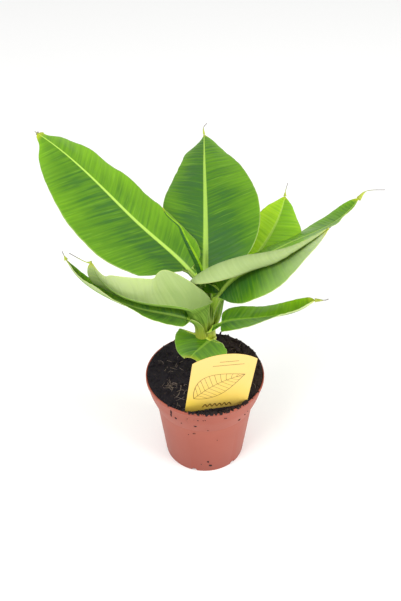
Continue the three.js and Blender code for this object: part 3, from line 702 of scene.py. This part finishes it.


# ---- leaves: shapes ----
# Each leaf is one sheet from the stem's foot to its tip: a sheath rolled round the stem, a channelled
# stalk that leaves it, and the blade's two halves. It is made as two pieces that meet at the blade's
# foot. Every cross section is two arcs, left and right of the keel: how wide, how steep, how curled.

# Sizes are in mm and angles in degrees. A list of angles runs from the blade's foot to its tip.
# foot, length, heading, rise, roll: where the blade starts, how its midrib runs, and how it tilts.
# shoulder, join, twist: where its halves start and are fully open, and a turn between the two.
# sheath, keel, leave, lean: how far out the sheath is and on which side, and where the stalk leaves it.
# wrap, spread, neck: how far the sheath goes round, how it opens, and the stalk's width and curl.
# rib, rib_light, drip: half the midrib's width, how pale it is, and how thick its thread starts.
# Each half has a width, its shape at base and tip, lobes (place, spread and depth), its fold up from
# the midrib, its curl, its tone (how light it is: partly its own colour, partly painted light and shade
# for how it lies) and its bloom_and_sheen (how powdery, and on the curled leaf's right half a painted
# sheen toward the tip). wave is the height, count and start of the margin's waves, threads are the dry
# thread's runs (length, heading and rise), and cut is where a torn blade ends.
leaves = [
    {
        "name": "upper_left", "foot": (-10.7, 0.5, 224.6), "length": 200.5,
        "heading": (126, 152.5, 154, 154.5, 151.5),
        "rise": (11, 39, 18), "roll": (5, -2.5, -7.5), "shoulder": 0.04, "join": 0.09, "twist": 0,
        "sheath": 4.3, "keel": 150, "leave": 184, "lean": 0, "wrap": (150, 150), "spread": 0.5,
        "neck": ((4.6, 70), (4.6, 70)), "rib": 1.9, "rib_light": 1.0, "drip": 1.6,
        "left": {"width": 59.7, "base": 0.34, "tip": 0.71, "lobes": [(0.955, 0.03, -4)],
                 "fold": (12.5, -8.5, -24), "curl": (-0.5, -4), "tone": (0.1, 0.12, 0.42)},
        "right": {"width": 34, "base": 0.29, "tip": 0.33, "lobes": [(0.965, 0.035, -9)],
                  "fold": (41, 9.5, -21), "curl": (-25, -5.5), "tone": (0.3, 0.62)},
        "wave": (0.9, 4.3, 0.1), "threads": [(3, 150, 20)],
    },
    {
        "name": "upper_middle", "foot": (-0.1, 12.4, 214.8), "length": 184, "heading": (88, 91, 89),
        "rise": (39, 20, -3), "roll": (3.5, -3.5, -0.5), "shoulder": 0, "join": 0.05, "twist": 0,
        "sheath": 4.9, "keel": 80, "leave": 176, "lean": 0, "wrap": (150, 150), "spread": 0.5,
        "neck": ((6.5, 80), (6.5, 80)), "rib": 2.6, "rib_light": 0.75, "drip": 0.9,
        "left": {"width": 43, "base": 0.53, "tip": 0.89, "lobes": [(0.86, 0.05, 4), (0.96, 0.03, -3)],
                 "fold": (6.5, -22.5), "curl": (-0.5, -14), "tone": (0.28, -0.04, 0.32)},
        "right": {"width": 53, "base": 0.45, "tip": 0.87, "lobes": [],
                  "fold": (13.5, -14.5), "curl": (3, -6.5), "tone": (-0.22, 0.15, 0.34)},
        "wave": (0.8, 3.7, 0.4), "threads": [(7, 100, 60), (6, 20, 50)],
    },
    {
        "name": "back_right", "foot": (10.2, 8.4, 190.5), "length": 156, "heading": (40, 80),
        "rise": (20, 13.5, 5.5), "roll": (-0.5, 3.5), "shoulder": 0, "join": 0.06, "twist": 0,
        "sheath": 5.6, "keel": 45, "leave": 160, "lean": 0.3, "wrap": (100, 100), "spread": 0.4,
        "neck": ((6, 80), (6, 80)), "rib": 2.4, "rib_light": 0.6, "drip": 1.5,
        "left": {"width": 34, "base": 0.48, "tip": 0.81, "lobes": [], "fold": (12, 1), "curl": (0, -4),
                 "tone": (1.3, 1.4)},
        "right": {"width": 39.5, "base": 0.5, "tip": 0.85, "lobes": [], "fold": (11, -12),
                  "curl": (-1, -18), "tone": (1.3, 0.75)},
        "wave": (0.8, 4.1, 0.7), "threads": [(5, 80, 60), (9, 60, 60)],
    },
    {
        "name": "far_right", "foot": (24, 13.2, 208.5), "length": 195, "heading": (27, 58),
        "rise": (36, -6.5, 12.5), "roll": (-22, -24, -19.5), "shoulder": 0, "join": 0.06, "twist": 0,
        "sheath": 8.2, "keel": 15, "leave": 160, "lean": 0.7, "wrap": (90, 30), "spread": 0.6,
        "neck": ((6, 60), (4, 50)), "rib": 2.6, "rib_light": 0.6, "drip": 2.4,
        "left": {"width": 27.5, "base": 0.43, "tip": 0.58, "lobes": [],
                 "fold": (13, 3.5, 21.5), "curl": (-11, -25, 3), "tone": (0.6, 0.35)},
        "right": {"width": 28, "base": 0.42, "tip": 1.3, "lobes": [(0.48, 0.13, 10)],
                  "fold": (21.5, 14, 34), "curl": (-3.5, 5.5), "tone": (0.8, 0.35)},
        "wave": (0.5, 3.1, 0.2), "threads": [(14, 45, 15), (19, -10, 10)],
    },
    {
        "name": "curled_right", "foot": (11.9, -4.7, 200.7), "length": 143.5, "heading": (-29, -26, 4.5),
        "rise": (68, 50.5, 35, 42.5, 44.5), "roll": (-3, 8, -0.5), "shoulder": 0.03, "join": 0.1,
        "twist": 80,
        "sheath": 6.6, "keel": 72, "leave": 146, "lean": 0.1, "wrap": (110, 80), "spread": 0.5,
        "neck": ((4.8, 60), (3.8, 60)), "rib": 3.0, "rib_light": 1.0, "drip": 0.8,
        "left": {"width": 49.5, "base": 0.18, "tip": 1.15, "lobes": [],
                 "fold": (54, 50, 22, 35.5, 44.5), "curl": (134, 198, 272, 229, 188), "tone": (0.15, 0.5)},
        # Its right half is painted darker at the foot, as shade under the rolled half, and paler toward the
        # tip as a painted sheen.
        "right": {"width": 39, "base": 0.82, "tip": 0.67, "lobes": [],
                  "fold": (-27, -9, 13), "curl": (-25, -5, 10.5), "tone": (-0.6, 0.15, 0.85),
                  "bloom_and_sheen": (0, 0.03, 1.05)},
        "wave": (0.6, 3.3, 0.5), "threads": [(3, 5, 40)],
    },
    {
        "name": "low_right", "foot": (6.7, -7.8, 168.9), "length": 103.5, "heading": (-2.5, 2, 24.5),
        "rise": (36, 11, 6.5, 10, 31), "roll": (-1.5, -7, 7.5), "shoulder": 0.1, "join": 0.16, "twist": 0,
        "sheath": 8.7, "keel": -46, "leave": 163, "lean": 0.5, "wrap": (60, 34), "spread": 0.6,
        "neck": ((2, 10), (6, 5)), "rib": 1.9, "rib_light": 0.3, "drip": 1.6,
        "left": {"width": 21, "base": 0.23, "tip": 0.47, "lobes": [], "fold": (20.5, 4.5, 17.5),
                 "curl": (8.5, -12.5, -3.5), "tone": (0.15, 0.95)},
        "right": {"width": 23.8, "base": 0.32, "tip": 0.78, "lobes": [(0, 0.04, 4.5)],
                  "fold": (-2, 16, 46), "curl": (-5, 15, 45.5), "tone": (0.05, 0.9)},
        "wave": (0.5, 2.6, 0.3), "threads": [(9, 0, 0), (4, 0, 20)],
    },
    {
        "name": "cupped_left", "foot": (-10.5, -12.4, 189.4), "length": 119,
        "heading": (222, 172, 183, 149.5, 151.5),
        "rise": (58, 0, 21, 26, 77), "roll": (55, 59, 57, 56, 68), "shoulder": 0, "join": 0.08, "twist": 0,
        "sheath": 7.8, "keel": 250, "leave": 146, "lean": 0, "wrap": (28, 150), "spread": 2.6,
        "neck": ((18.5, 25), (8, 60)), "rib": 1.2, "rib_light": 0.8, "drip": 1.2,
        "left": {"width": 38.6, "base": 0.39, "tip": 0.5, "lobes": [(0.24, 0.09, 6)],
                 "fold": (5, 29, 14, 13.5, -10), "curl": (-8, 2.5, -5.5), "tone": (-1.0, 0.85, 0.4)},
        "right": {"width": 30.4, "base": 0.42, "tip": 0.73, "lobes": [],
                  "fold": (74, 29, 16.5, -2.5, -29), "curl": (5.5, -16), "tone": (0.0, 0.5, 0.4)},
        "wave": (0.5, 2.9, 0.6), "threads": [(6, 180, 5), (17, 180, 35)],
    },
    {
        "name": "low_left", "foot": (-16.4, -8.5, 179.1), "length": 133, "heading": (190, 170.5, 136.5),
        "rise": (26, 14.5, 21.5, 25.5, 49), "roll": (0.5, 7, 7.5), "shoulder": 0, "join": 0.06, "twist": 0,
        "sheath": 9.1, "keel": 205, "leave": 140, "lean": 0.2, "wrap": (90, 120), "spread": 0.6,
        "neck": ((7, 80), (7, 80)), "rib": 1.4, "rib_light": 0.4, "drip": 1.6,
        "left": {"width": 24.4, "base": 0.45, "tip": 0.78, "lobes": [(0.37, 0.06, 2.5)],
                 "fold": (-2.5, 27, 50), "curl": (-2.5, 9.5, 18), "tone": (0.12, 0.35),
                 "bloom_and_sheen": (0.06, 0.06)},
        "right": {"width": 14.9, "base": 0.16, "tip": 0.71, "lobes": [], "fold": (54.5, 31.5, 16.5),
                  "curl": (0.5, -1.5), "tone": (0.1, 0.3)},
        "wave": (0.6, 3.4, 0.9), "threads": [(9, 150, 65)],
    },
    {
        "name": "front", "foot": (4, -11.3, 155.3), "length": 35.5, "heading": (237, 235.5),
        "rise": (2.5, 7, -20), "roll": (5, 4.5, 6.5), "shoulder": 0, "join": 0.03, "twist": 0, "cut": 0.93,
        "sheath": 9.5, "keel": 245, "leave": 118, "lean": 0.1, "wrap": (80, 80), "spread": 0.5,
        "neck": ((5, 60), (5, 60)), "rib": 1.6, "rib_light": 0.35, "drip": 0,
        "left": {"width": 24.8, "base": 0.18, "tip": 0.38, "lobes": [], "fold": (-0.5, -10.5),
                 "curl": (-11.5, -12.5), "tone": (0.32, 0.3), "bloom_and_sheen": (0.08, 0.08)},
        "right": {"width": 36.7, "base": 0.04, "tip": 0.52, "lobes": [], "fold": (0, -20),
                  "curl": (-1.5, -28), "tone": (0.24, 0.3)},
        "wave": (0.5, 2.2, 0.2), "threads": [],
    },
]
blade_thickness = 0.42
blade_rows = 120
blade_columns = 56
vein_lean = 0.45
groove_depth = 0.55
groove_reach = 1.7
rib_end = 0.35
pleat_height = 0.4
pleat_pitch = 6
swell_height = 0.9
swell_length = 24
swell_breadth = 15
fray_depth = 0.5
tear_depth = 1.6
tear_rows = 10
sheath_rows = 14
stalk_rows = 24
stalk_columns = 24
stalk_wall = 0.28
stalk_wall_most = 4
# What a leaf's mesh tells its skin: where a place is in mm and in shares, its lightness and its midrib.
leaf_layers = ("leaf_mm", "leaf_share", "leaf_tone", "leaf_rib")


def value_along(values, t):
    """A value that runs smoothly through its list from the foot (0) to the tip (1)."""
    if len(values) == 3:
        a, b, c = values
        return a * (1 - t) * (1 - 2 * t) + 4 * b * t * (1 - t) + c * t * (2 * t - 1)
    if len(values) > 3:
        return through_points(values, t)
    return values[0] + (values[1] - values[0]) * t


def through_points(points, s):
    """A smooth curve through points, at a share s of its spans."""
    x = s * (len(points) - 1)
    k = min(int(x), len(points) - 2)
    f = x - k
    a, b, c, d = (points[max(0, min(len(points) - 1, k + i))] for i in (-1, 0, 1, 2))
    square = 2 * a - 5 * b + 4 * c - d
    cube = 3 * b - a - 3 * c + d
    return 0.5 * (2 * b + (c - a) * f + square * f ** 2 + cube * f ** 3)


def ease(s):
    """0 below 0 and 1 above 1, with a soft start and end between."""
    s = clamped(s)
    return s * s * (3 - 2 * s)


def heading(direction, rise):
    """The unit vector that points that far round from +X and that far above level, in degrees."""
    direction, rise = math.radians(direction), math.radians(rise)
    level = math.cos(rise)
    return Vector((level * math.cos(direction), level * math.sin(direction), math.sin(rise)))


def half_width(half, t):
    """How wide one half of the blade is: blunt at the base, drawn out to the tip, with its lobes."""
    widest = half["base"] / (half["base"] + half["tip"])
    peak = widest ** half["base"] * (1 - widest) ** half["tip"]
    width = half["width"] * t ** half["base"] * (1 - t) ** half["tip"] / peak
    for place, spread, depth in half["lobes"]:
        width += depth * math.exp(-(((t - place) / spread) ** 2)) * min(1, (1 - t) * 60)
    return max(width, 0)


def blade_stations(leaf, places):
    """Cross sections along the blade: keel point, way forward, left and upper sides, and both halves."""
    stations = []
    point = Vector(leaf["foot"])
    last_t, last_forward = 0, heading(leaf["heading"][0], leaf["rise"][0])
    for t in places:
        steps = max(1, round((t - last_t) * 150))
        for k in range(steps):
            s = last_t + (t - last_t) * (k + 1) / steps
            forward = heading(value_along(leaf["heading"], s), value_along(leaf["rise"], s))
            point = point + (forward + last_forward) * (t - last_t) / steps * leaf["length"] / 2
            last_forward = forward
        last_t = t
        opened = ease(t / leaf["join"])
        level = heading(value_along(leaf["heading"], t) + 90, 0)
        roll = math.radians(value_along(leaf["roll"], t) + leaf["twist"] * (1 - ease(2 * t / leaf["join"])))
        left = level * math.cos(roll) + last_forward.cross(level) * math.sin(roll)
        halves = []
        past_shoulder = max(0, (t - leaf["shoulder"]) / (1 - leaf["shoulder"]))
        for side, (neck_width, neck_curl) in zip(("left", "right"), leaf["neck"]):
            half = leaf[side]
            width = math.hypot(neck_width * (1 - opened), half_width(half, past_shoulder))
            neck_share = neck_width * (1 - opened) / width if width else 0
            fold = value_along(half["fold"], t) * (1 - neck_share)
            curl = value_along(half["curl"], t) * (1 - neck_share) + neck_curl * neck_share
            halves.append((width, math.radians(fold), math.radians(curl)))
        stations.append((point, last_forward, left, last_forward.cross(left), halves))
    return stations


def stalk_stations(leaf):
    """Cross sections of the sheath, up the stem, and of the stalk from the stem to the blade's foot."""
    stations = []
    outward = heading(leaf["keel"], 0)
    up = Vector((0, 0, 1))
    wraps = [math.radians(degrees) for degrees in leaf["wrap"]]
    for k in range(sheath_rows):
        centre = stem_axis(stem_foot.z + (leaf["leave"] - stem_foot.z) * k / sheath_rows)
        halves = [(leaf["sheath"] * wrap, 0, wrap) for wrap in wraps]
        stations.append((centre + outward * leaf["sheath"], up, up.cross(outward), -outward, halves))
    point, forward, left, upper, neck_halves = blade_stations(leaf, [0])[0]
    start = stem_axis(leaf["leave"]) + outward * leaf["sheath"]
    span = (point - start).length
    leaving = (up + outward * leaf["lean"]).normalized()
    out_of_stem = start + leaving * span * 0.4
    into_blade = point - forward * span * 0.35
    curve = interpolate_bezier(start, out_of_stem, into_blade, point, stalk_rows + 1)
    for k, keel in enumerate(curve):
        s = k / stalk_rows
        ahead = (curve[min(k + 1, stalk_rows)] - curve[max(k - 1, 0)]).normalized()
        inner = (-outward).lerp(upper, ease(s))
        inner = (inner - ahead * inner.dot(ahead)).normalized()
        halves = []
        for wrap, (width, fold, curl) in zip(wraps, neck_halves):
            open_s = s ** leaf["spread"]
            halves.append((leaf["sheath"] * wrap * (1 - open_s) + width * open_s, fold * open_s,
                           wrap * (1 - open_s) + curl * open_s))
        stations.append((keel, ahead, inner.cross(ahead), inner, halves))
    return stations


def lay(station, side, across, sink):
    """A cross section's point at a distance from the keel, sunk below the sheet, and its normal."""
    point, forward, left, upper, halves = station
    width, fold, curl = halves[0 if side > 0 else 1]
    turn = curl / max(width, 1e-6)
    if abs(turn) < 1e-5:
        turn = 1e-5
    out = (math.sin(fold + turn * across) - math.sin(fold)) / turn
    rise = (math.cos(fold) - math.cos(fold + turn * across)) / turn
    normal = upper * math.cos(fold + turn * across) - left * side * math.sin(fold + turn * across)
    return point + left * side * out + upper * rise - normal * sink, normal


def groove(across, t):
    """How deep the channel along the blade's midrib is."""
    return groove_depth * math.exp(-((across / groove_reach) ** 2)) * (1 - t) ** 0.6


def shape_blade(leaf, seed):
    """The blade's sheet: a grid laid along the midrib, out across both halves, with its relief."""
    bm = bmesh.new()
    bmesh.ops.create_grid(bm, x_segments=blade_columns, y_segments=blade_rows, size=1)
    in_mm, in_shares, in_tones, in_ribs = (
        bm.verts.layers.float_vector.new(layer) for layer in leaf_layers)
    last = leaf.get("cut", 1)
    places = [last * (0.5 - 0.5 * math.cos(math.pi * i / blade_rows)) for i in range(blade_rows + 1)]
    stations = blade_stations(leaf, places)
    wave_height, wave_count, wave_start = leaf["wave"]
    for vert in bm.verts:
        row = round((vert.co.y + 1) / 2 * blade_rows)
        t = places[row]
        side = 1 if vert.co.x < 0 else -1
        half = leaf["left"] if side > 0 else leaf["right"]
        u = abs(vert.co.x) ** 1.35
        forward, left, halves = stations[row][1], stations[row][2], stations[row][4]
        across = halves[0 if side > 0 else 1][0] * u
        place, normal = lay(stations[row], side, across, groove(across, t))
        vein = leaf["length"] * t - vein_lean * across
        taper = min(1, t * 10) * min(1, (1 - t) * 12)
        pleat = pleat_height * noise.noise(Vector((vein / pleat_pitch, side * 4, seed))) * min(1, u * 5)
        swell_place = Vector((leaf["length"] * t / swell_length, across / swell_breadth, seed + side))
        swell = swell_height * noise.noise(swell_place) * min(1, u * 3)
        edge_wave = wave_height * u ** 3 * math.sin(2 * math.pi * (wave_count * t + wave_start * side))
        place += normal * (pleat + swell + edge_wave) * taper
        frayed = fray_depth * u ** 8 * noise.noise(Vector((t * 26, side * 3, seed + 5)))
        place += left * side * frayed * taper
        if last < 1 and row > blade_rows - tear_rows:
            torn = noise.noise(Vector((across * side / 2.2, seed, 1)))
            torn += 0.6 * noise.noise(Vector((across * side, 2, 2)))
            place += forward * torn * tear_depth * (row - blade_rows + tear_rows) / tear_rows
            u = max(u, 1 - 0.002 * (blade_rows - row))
        vert[in_mm] = (vein, across, side)
        vert[in_shares] = (t, u, (1 - t) * leaf["length"])
        vert[in_ribs] = (leaf["rib"] * (1 - t) ** 0.85 + rib_end, leaf["rib_light"], 0)
        vert[in_tones] = (value_along(half["tone"], t), value_along(half.get("bloom_and_sheen", (0, 0)), t), seed)
        vert.co = place * MM
    bmesh.ops.remove_doubles(bm, verts=bm.verts, dist=1e-6)
    return bm


def shape_stalk(leaf):
    """The sheath and stalk as one trough, which runs on beneath the blade as its rib."""
    places = [0.003, 0.008] + [0.93 * leaf.get("cut", 1) * k / 44 for k in range(1, 45)]
    stations = stalk_stations(leaf)
    below = len(stations)
    stations += blade_stations(leaf, places)
    rows = len(stations) - 1
    bm = bmesh.new()
    bmesh.ops.create_grid(bm, x_segments=stalk_columns, y_segments=rows, size=1)
    in_mm = bm.verts.layers.float_vector.new("stalk_mm")
    walls = bm.verts.layers.deform.verify()
    walked = [0]
    for before, after in zip(stations, stations[1:]):
        walked.append(walked[-1] + (after[0] - before[0]).length)
    for vert in bm.verts:
        row = round((vert.co.y + 1) / 2 * rows)
        side = 1 if vert.co.x < 0 else -1
        u = abs(vert.co.x)
        width = stations[row][4][0 if side > 0 else 1][0]
        if row < below:
            across = width * u
            s = max(0, row - sheath_rows) / stalk_rows
            sink = 0
            wall = (1.0 + (leaf["rib"] - 1.0) * ease(s)) * max(0, 1 - u ** 2.2) ** 0.7 + stalk_wall
        else:
            t = places[row - below]
            opened = ease(t / leaf["join"] * 1.2)
            rib = leaf["rib"] * (1 - t) ** 0.85 + 0.2
            across = u * (width * (1 - opened) + rib * opened)
            sink = 0.25 * ease(t * 60) + groove(across, t)
            wall = rib * max(0, 1 - u ** 2.2) ** 0.7 + stalk_wall * (1 - opened)
        place, normal = lay(stations[row], side, across, sink)
        vert[in_mm] = (walked[row], across * side, u)
        vert[walls][0] = min(1, wall / stalk_wall_most)
        vert.co = place * MM
    return bm


# ---- leaves: skins ----
# The upper skin is green, satin with wax, lighter toward its edge, with a pale channelled midrib and
# slanting side veins. The underside is paler, with a powdery bloom over the same veins.

def leaf_skin(name, cool, deep, light, young, vein_colour, rib_colour, upper):
    """A leaf's skin for one side. Both read where a place lies on the leaf from the mesh."""
    skin, shader = new_material(name)
    mm, share, tone, rib = (
        add_node(skin, "SeparateXYZ", {
            "Vector": add_node(skin, "Attribute", {}, attribute_name=layer).outputs["Vector"]}).outputs
        for layer in leaf_layers)
    place = add_node(skin, "TexCoord", {}).outputs["Object"]
    # Side veins lie 5 mm apart and run out from the midrib, a little unevenly; finer lines lie between.
    seeded = add_node(skin, "Math", {0: mm["Z"], 1: tone["Z"]}, operation="ADD")
    vein_place = add_node(skin, "CombineXYZ", {"X": mm["X"], "Y": mm["Y"], "Z": seeded.outputs[0]})
    wide_place, fine_place, ruled_place = (
        add_node(skin, "Mapping", {"Vector": vein_place.outputs[0], "Scale": scale}).outputs[0]
        for scale in ((0.19, 0.014, 3.0), (0.6, 0.03, 5.0), (1.0, 0.08, 1.0)))
    wide_veins = add_node(
        skin, "TexNoise", {"Vector": wide_place, "Scale": 1.0, "Detail": 2.0, "Roughness": 0.5})
    fine_veins = add_node(skin, "TexNoise", {"Vector": fine_place, "Scale": 1.0, "Detail": 2.0})
    ruled_veins = add_node(
        skin, "TexWave", {"Vector": ruled_place, "Scale": 0.063, "Distortion": 1.2, "Detail": 1.0,
                          "Detail Scale": 0.6},
        wave_type="BANDS", bands_direction="X", wave_profile="SIN")
    clouds = add_node(skin, "TexNoise", {"Vector": place, "Scale": 26.0, "Detail": 3.0})
    # The tone given for each half, partly painted light and shade, is made lighter toward the margin, in
    # patches and on its veins. Along the sunken veins, painted shade darkens the skin, most of all half
    # way out to the margin.
    lightness = tone["X"]
    for source, start, end, least, most in (
        (share["Y"], 0.35, 1.0, 0.0, 0.3),
        (clouds.outputs["Fac"], 0.3, 0.7, -0.1, 0.1),
        (fine_veins.outputs["Fac"], 0.3, 0.7, -0.08, 0.1),
        (ruled_veins.outputs["Fac"], 0.5, 1.0, -0.02, 0.08),
    ):
        added = add_node(skin, "MapRange", {
            "Value": source, "From Min": start, "From Max": end, "To Min": least, "To Max": most})
        lightness = add_node(skin, "Math", {0: lightness, 1: added.outputs[0]}, operation="ADD").outputs[0]
    # Painted shade in the sunken veins.
    vein_painted_shade = add_node(skin, "MapRange", {
        "Value": wide_veins.outputs["Fac"], "From Min": 0.36, "From Max": 0.54,
        "To Min": 0.24, "To Max": 0.0})
    outward = add_node(skin, "MapRange", {
        "Value": share["Y"], "From Min": 0.45, "From Max": 1.0, "To Min": 1.0, "To Max": 0.15})
    dark = add_node(skin, "Math", {0: vein_painted_shade.outputs[0], 1: outward.outputs[0]}, operation="MULTIPLY")
    lightness = add_node(skin, "Math", {0: lightness, 1: dark.outputs[0]}, operation="SUBTRACT").outputs[0]
    # Each colour is laid over the last, as far as its source has come from start to end: the greens, which
    # the lightness picks and so carry its painted light and shade, the fine veins, the bloom with its
    # painted sheen, the midrib as wide and pale as the mesh gives it, the margin and the tip.
    across_rib = add_node(skin, "Math", {0: mm["Y"], 1: rib["X"]}, operation="DIVIDE")
    colour = linear(cool)
    for source, start, end, least, most, hex_colour in (
        (lightness, -0.6, 0.15, 0.0, 1.0, deep),
        (lightness, 0.0, 1.0, 0.0, 1.0, light),
        (lightness, 0.95, 1.7, 0.0, 1.0, young),
        (fine_veins.outputs["Fac"], 0.62, 0.74, 0.0, 0.25, vein_colour),
        (tone["Y"], 0.0, 1.0, 0.0, 1.0, "#B9C99C"),
        (across_rib.outputs[0], 0.7, 1.15, rib["Y"], 0.0, rib_colour),
        (share["Y"], 0.98, 0.997, 0.0, 0.6, "#B9C873"),
        (share["Z"], 0.5, 7.0, 0.8, 0.0, "#B9BE2C"),
    ):
        laid = add_node(skin, "MapRange", {
            "Value": source, "From Min": start, "From Max": end, "To Min": least, "To Max": most})
        colour = add_node(
            skin, "Mix", {0: laid.outputs[0], 6: colour, 7: linear(hex_colour)},
            data_type="RGBA").outputs[2]
    vein_height = add_node(
        skin, "Math", {0: ruled_veins.outputs["Fac"], 1: fine_veins.outputs["Fac"]}, operation="ADD")
    relief = add_node(skin, "Bump", {
        "Height": vein_height.outputs[0], "Strength": 0.25 if upper else 0.15, "Distance": 0.0006})
    wire(shader, {
        "Base Color": colour, "Normal": relief.outputs["Normal"],
        "Subsurface Weight": 0.25, "Subsurface Radius": (1.0, 1.0, 0.3), "Subsurface Scale": 0.002,
        "Roughness": 0.42 if upper else 0.6, "Specular IOR Level": 0.25 if upper else 0.2,
    })
    return skin


leaf_top = leaf_skin(
    "waxy_leaf_upper_skin", "#2C5A30", "#3A6D16", "#7CB114", "#ACD81C", "#8FBC4C", "#B6DC5C", True)
leaf_under = leaf_skin(
    "powdery_leaf_lower_skin", "#8CA662", "#96AE68", "#B6C989", "#C0D688", "#8AA35C", "#AFCB4C", False)

thread_skin, thread_shader = new_material("dry_leaf_thread")
# The leaf's dried leading thread: straw yellow where it is still fresh, grey brown at its end.
thread_share = add_node(thread_skin, "Attribute", {}, attribute_name="thread_share")
thread_colour = add_node(
    thread_skin, "Mix", {0: thread_share.outputs["Fac"], 6: linear("#B2BE44"), 7: linear("#8E8684")},
    data_type="RGBA")
wire(thread_shader, {"Base Color": thread_colour.outputs[2], "Roughness": 0.7})

thread_steps = 20
thread_radius = 0.42
drip_steps = 9


def thicken(piece, thickness, **settings):
    """Gives a sheet its thickness in mm, on the far side from its laid face."""
    wall = piece.modifiers.new("thickness", "SOLIDIFY")
    wall.thickness = thickness * MM
    wall.offset = -1
    for name, value in settings.items():
        setattr(wall, name, value)
    apply_modifiers(piece)


for seed, leaf in enumerate(leaves):
    blade = new_piece("blade_" + leaf["name"], shape_blade(leaf, seed), [leaf_top, leaf_under])
    thicken(blade, blade_thickness, material_offset=1, material_offset_rim=1)
    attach(blade, "root")
    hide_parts("leaf_" + leaf["name"])

    stalk = new_piece("stalk_trough_" + leaf["name"], shape_stalk(leaf), [sheath_inside, sheath_outside])
    stalk.vertex_groups.new(name="wall")
    thicken(
        stalk, stalk_wall_most, vertex_group="wall", thickness_vertex_group=0, material_offset=1,
        material_offset_rim=1)
    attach(stalk, "root")
    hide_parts("stalk_" + leaf["name"])

    if leaf["threads"]:
        points = [blade_stations(leaf, [1])[0][0]]
        for length, direction, rise in leaf["threads"]:
            points.append(points[-1] + heading(direction, rise) * length)
        thread_bm = bmesh.new()
        share_layer = thread_bm.verts.layers.float.new("thread_share")
        smooth_points = [through_points(points, k / thread_steps) * MM for k in range(thread_steps + 1)]
        radii = [(thread_radius + leaf["drip"] * max(0, 1 - k / drip_steps) ** 0.8) * MM
                 for k in range(thread_steps + 1)]
        tube(thread_bm, smooth_points, radii, 8)
        start = smooth_points[0]
        reach = (smooth_points[-1] - start).length
        for vert in thread_bm.verts:
            vert[share_layer] = clamped((vert.co - start).length / reach * 2.4 - 0.8)
        bmesh.ops.recalc_face_normals(thread_bm, faces=thread_bm.faces)
        thread = new_piece("thread_" + leaf["name"], thread_bm, [thread_skin])
        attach(thread, "root")


# ---- rolled leaf ----
# The newest leaf, still rolled up like a cigar: one sheet wound one and a quarter times round, with
# its outer edge showing as a bright seam, drawn out to a dry point.

rolled_path = [(-3, 0, 219), (-7, 1, 236), (-13, 2, 251), (-20, 2, 268.5), (-23.5, 2, 278), (-30, 2, 285),
               (-35, 2, 291), (-37.5, 2, 297)]
rolled_radii = [3.4, 3.0, 2.5, 1.7, 1.1, 0.7, 0.5, 0.3]
rolled_turns = 1.25
rolled_seam = math.radians(58)
rolled_seam_breadth = 0.08
rolled_length = 90
rolled_thickness = 0.3
rolled_rows = 70
rolled_columns = 48
rolled_bm = bmesh.new()
bmesh.ops.create_grid(rolled_bm, x_segments=rolled_columns, y_segments=rolled_rows, size=1)
rolled_mm, rolled_share, rolled_tone, rolled_rib = (
    rolled_bm.verts.layers.float_vector.new(layer) for layer in leaf_layers)
rolled_points = [Vector(point) for point in rolled_path]
for vert in rolled_bm.verts:
    s = (vert.co.y + 1) / 2
    wound = (vert.co.x + 1) / 2
    centre = through_points(rolled_points, s)
    before, after = (through_points(rolled_points, clamped(s + step)) for step in (-0.02, 0.02))
    ahead = (after - before).normalized()
    aside = ahead.cross(Vector((0, -1, 0))).normalized()
    front = aside.cross(ahead)
    radius = through_points(rolled_radii, s) * (0.74 + 0.26 * wound)
    turn = rolled_seam - 2 * math.pi * rolled_turns * (1 - wound)
    vert[rolled_mm] = (s * rolled_length - wound * 8, 9, 1)
    vert[rolled_share] = (s * 0.9, 0.5, 60 * (1 - s))
    vert[rolled_tone] = (-0.2 + 1.3 * ease((wound - 0.8) / rolled_seam_breadth), 0, 12)
    vert[rolled_rib] = (1, 0, 0)
    vert.co = (centre + (aside * math.cos(turn) + front * math.sin(turn)) * radius) * MM
rolled = new_piece("rolled_new_leaf", rolled_bm, [leaf_top, leaf_under])
thicken(rolled, rolled_thickness)
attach(rolled, "root")
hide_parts("leaf_rolled")
